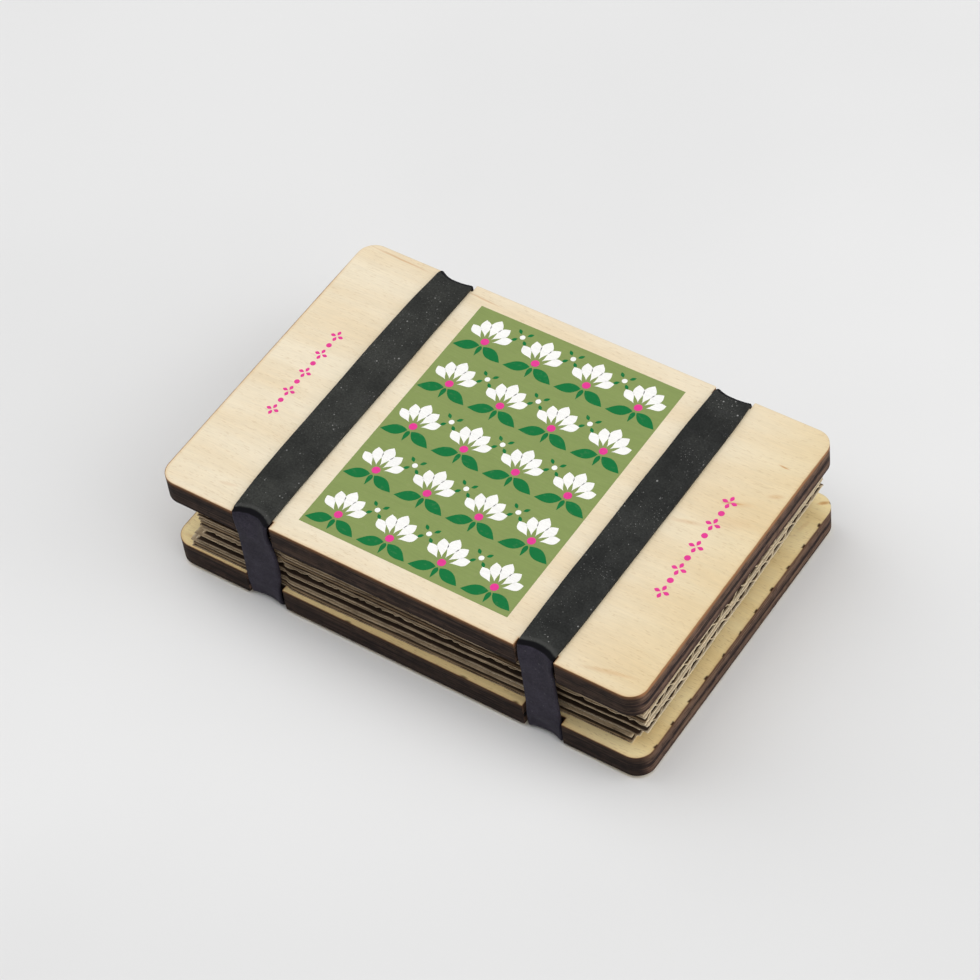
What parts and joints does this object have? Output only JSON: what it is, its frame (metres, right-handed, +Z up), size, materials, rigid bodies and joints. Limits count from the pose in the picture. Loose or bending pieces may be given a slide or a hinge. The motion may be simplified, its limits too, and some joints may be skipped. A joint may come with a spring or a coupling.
{
  "type": "flower press",
  "caption": "Pocket flower press: notched plywood boards squeeze layers of corrugated cardboard and blotting paper, held by wide rubber bands stretched round both ends.",
  "frame": {"origin": "on the ground under the middle of the press, in the plane of the undersides of the bands", "axes": "+X along the long sides of the boards, +Y across them, +Z up through the stack to the top board"},
  "size_m": [0.12, 0.079, 0.029],
  "materials": {
    "plywood": "sanded birch plywood with laser-scorched dark edges",
    "corrugated_cardboard": "raw grey-brown corrugated board, cut edges",
    "blotting_paper": "unsized absorbent paper, cut edges",
    "rubber_band": "matt black rubber, slightly dusty"
  },
  "bodies": {
    "base_board": {"base_board": "plywood"},
    "cardboard_1": {"cardboard_1": "corrugated_cardboard"},
    "blotter_1_1": {"blotter_1_1": "blotting_paper"},
    "blotter_1_2": {"blotter_1_2": "blotting_paper"},
    "cardboard_2": {"cardboard_2": "corrugated_cardboard"},
    "blotter_2_1": {"blotter_2_1": "blotting_paper"},
    "blotter_2_2": {"blotter_2_2": "blotting_paper"},
    "cardboard_3": {"cardboard_3": "corrugated_cardboard"},
    "blotter_3_1": {"blotter_3_1": "blotting_paper"},
    "blotter_3_2": {"blotter_3_2": "blotting_paper"},
    "cardboard_4": {"cardboard_4": "corrugated_cardboard"},
    "blotter_4_1": {"blotter_4_1": "blotting_paper"},
    "blotter_4_2": {"blotter_4_2": "blotting_paper"},
    "cardboard_5": {"cardboard_5": "corrugated_cardboard"},
    "top_board": {"top_board": "plywood"},
    "band_left": {"band_left": "rubber_band"},
    "band_right": {"band_right": "rubber_band"}
  },
  "joints": [
    {"name": "top_board_lift", "type": "slide", "parent": "base_board", "child": "top_board", "axis": [0, 0, 1], "range_m": [0, 0.08]},
    {"name": "cardboard_1_lift", "type": "slide", "parent": "base_board", "child": "cardboard_1", "axis": [0, 0, 1], "range_m": [0, 0.0058]},
    {"name": "blotter_1_1_lift", "type": "slide", "parent": "base_board", "child": "blotter_1_1", "axis": [0, 0, 1], "range_m": [0, 0.0115]},
    {"name": "blotter_1_2_lift", "type": "slide", "parent": "base_board", "child": "blotter_1_2", "axis": [0, 0, 1], "range_m": [0, 0.0172]},
    {"name": "cardboard_2_lift", "type": "slide", "parent": "base_board", "child": "cardboard_2", "axis": [0, 0, 1], "range_m": [0, 0.023]},
    {"name": "blotter_2_1_lift", "type": "slide", "parent": "base_board", "child": "blotter_2_1", "axis": [0, 0, 1], "range_m": [0, 0.0287]},
    {"name": "blotter_2_2_lift", "type": "slide", "parent": "base_board", "child": "blotter_2_2", "axis": [0, 0, 1], "range_m": [0, 0.0344]},
    {"name": "cardboard_3_lift", "type": "slide", "parent": "base_board", "child": "cardboard_3", "axis": [0, 0, 1], "range_m": [0, 0.0401]},
    {"name": "blotter_3_1_lift", "type": "slide", "parent": "base_board", "child": "blotter_3_1", "axis": [0, 0, 1], "range_m": [0, 0.0458]},
    {"name": "blotter_3_2_lift", "type": "slide", "parent": "base_board", "child": "blotter_3_2", "axis": [0, 0, 1], "range_m": [0, 0.0515]},
    {"name": "cardboard_4_lift", "type": "slide", "parent": "base_board", "child": "cardboard_4", "axis": [0, 0, 1], "range_m": [0, 0.0572]},
    {"name": "blotter_4_1_lift", "type": "slide", "parent": "base_board", "child": "blotter_4_1", "axis": [0, 0, 1], "range_m": [0, 0.063]},
    {"name": "blotter_4_2_lift", "type": "slide", "parent": "base_board", "child": "blotter_4_2", "axis": [0, 0, 1], "range_m": [0, 0.0687]},
    {"name": "cardboard_5_lift", "type": "slide", "parent": "base_board", "child": "cardboard_5", "axis": [0, 0, 1], "range_m": [0, 0.0744]},
    {"name": "band_left_pull_off", "type": "slide", "parent": "base_board", "child": "band_left", "axis": [-1, 0, 0], "range_m": [0, 0.0381], "deforming": ["band_left"]},
    {"name": "band_right_pull_off", "type": "slide", "parent": "base_board", "child": "band_right", "axis": [1, 0, 0], "range_m": [0, 0.0381], "deforming": ["band_right"]}
  ],
  "couplings": [
    {"joint": "cardboard_1_lift", "follows": "top_board_lift", "ratio": 0.071429},
    {"joint": "blotter_1_1_lift", "follows": "top_board_lift", "ratio": 0.14286},
    {"joint": "blotter_1_2_lift", "follows": "top_board_lift", "ratio": 0.21429},
    {"joint": "cardboard_2_lift", "follows": "top_board_lift", "ratio": 0.28571},
    {"joint": "blotter_2_1_lift", "follows": "top_board_lift", "ratio": 0.35714},
    {"joint": "blotter_2_2_lift", "follows": "top_board_lift", "ratio": 0.42857},
    {"joint": "cardboard_3_lift", "follows": "top_board_lift", "ratio": 0.5},
    {"joint": "blotter_3_1_lift", "follows": "top_board_lift", "ratio": 0.57143},
    {"joint": "blotter_3_2_lift", "follows": "top_board_lift", "ratio": 0.64286},
    {"joint": "cardboard_4_lift", "follows": "top_board_lift", "ratio": 0.71429},
    {"joint": "blotter_4_1_lift", "follows": "top_board_lift", "ratio": 0.78571},
    {"joint": "blotter_4_2_lift", "follows": "top_board_lift", "ratio": 0.85714},
    {"joint": "cardboard_5_lift", "follows": "top_board_lift", "ratio": 0.92857},
    {"joint": "band_left_pull_off", "follows": "top_board_lift", "ratio": 0.475},
    {"joint": "band_right_pull_off", "follows": "top_board_lift", "ratio": 0.475}
  ]
}
